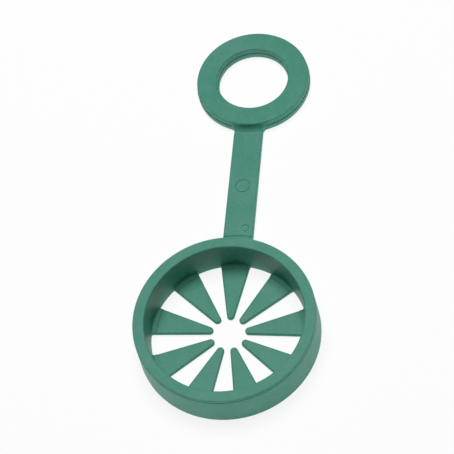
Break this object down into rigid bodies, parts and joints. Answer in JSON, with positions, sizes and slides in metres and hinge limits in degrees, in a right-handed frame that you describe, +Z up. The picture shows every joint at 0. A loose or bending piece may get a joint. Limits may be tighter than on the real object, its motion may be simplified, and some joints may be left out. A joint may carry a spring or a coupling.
{
  "type": "plant support ring",
  "caption": "Moulded plastic plant support: a short cup with a star of flexible fingers that hold a stem, joined by a flat arm to a plain ring that slides on a stake.",
  "frame": {"origin": "middle of the footprint, on the surface that the part lies on", "axes": "+Y from the cup along the arm to the stake ring, +Z up out of the cup's mouth, +X to the right of the arm"},
  "size_m": [0.0508, 0.1264, 0.0107],
  "materials": {
    "green_plastic": "satin, as moulded"
  },
  "bodies": {
    "moulding": {"cup_band": "green_plastic", "arm": "green_plastic", "stake_ring": "green_plastic"},
    "finger_1": {"finger_1": "green_plastic"},
    "finger_2": {"finger_2": "green_plastic"},
    "finger_3": {"finger_3": "green_plastic"},
    "finger_4": {"finger_4": "green_plastic"},
    "finger_5": {"finger_5": "green_plastic"},
    "finger_6": {"finger_6": "green_plastic"},
    "finger_7": {"finger_7": "green_plastic"},
    "finger_8": {"finger_8": "green_plastic"},
    "finger_9": {"finger_9": "green_plastic"}
  },
  "joints": [
    {"name": "finger_1_bend", "type": "hinge", "parent": "moulding", "child": "finger_1", "pos_m": [0, -0.01737, 0.0007], "axis": [-1, 0, 0], "range_deg": [-70, 70], "stiffness_Nm_per_rad": 0.03},
    {"name": "finger_2_bend", "type": "hinge", "parent": "moulding", "child": "finger_2", "pos_m": [-0.01313, -0.02215, 0.0007], "axis": [-0.766, -0.6428, 0], "range_deg": [-70, 70], "stiffness_Nm_per_rad": 0.03},
    {"name": "finger_3_bend", "type": "hinge", "parent": "moulding", "child": "finger_3", "pos_m": [-0.02011, -0.03425, 0.0007], "axis": [-0.1736, -0.9848, 0], "range_deg": [-70, 70], "stiffness_Nm_per_rad": 0.03},
    {"name": "finger_4_bend", "type": "hinge", "parent": "moulding", "child": "finger_4", "pos_m": [-0.01768, -0.048, 0.0007], "axis": [0.5, -0.866, 0], "range_deg": [-70, 70], "stiffness_Nm_per_rad": 0.03},
    {"name": "finger_5_bend", "type": "hinge", "parent": "moulding", "child": "finger_5", "pos_m": [-0.00698, -0.05698, 0.0007], "axis": [0.9397, -0.342, 0], "range_deg": [-70, 70], "stiffness_Nm_per_rad": 0.03},
    {"name": "finger_6_bend", "type": "hinge", "parent": "moulding", "child": "finger_6", "pos_m": [0.00698, -0.05698, 0.0007], "axis": [0.9397, 0.342, 0], "range_deg": [-70, 70], "stiffness_Nm_per_rad": 0.03},
    {"name": "finger_7_bend", "type": "hinge", "parent": "moulding", "child": "finger_7", "pos_m": [0.01768, -0.048, 0.0007], "axis": [0.5, 0.866, 0], "range_deg": [-70, 70], "stiffness_Nm_per_rad": 0.03},
    {"name": "finger_8_bend", "type": "hinge", "parent": "moulding", "child": "finger_8", "pos_m": [0.02011, -0.03425, 0.0007], "axis": [-0.1736, 0.9848, 0], "range_deg": [-70, 70], "stiffness_Nm_per_rad": 0.03},
    {"name": "finger_9_bend", "type": "hinge", "parent": "moulding", "child": "finger_9", "pos_m": [0.01313, -0.02215, 0.0007], "axis": [-0.766, 0.6428, 0], "range_deg": [-70, 70], "stiffness_Nm_per_rad": 0.03}
  ]
}
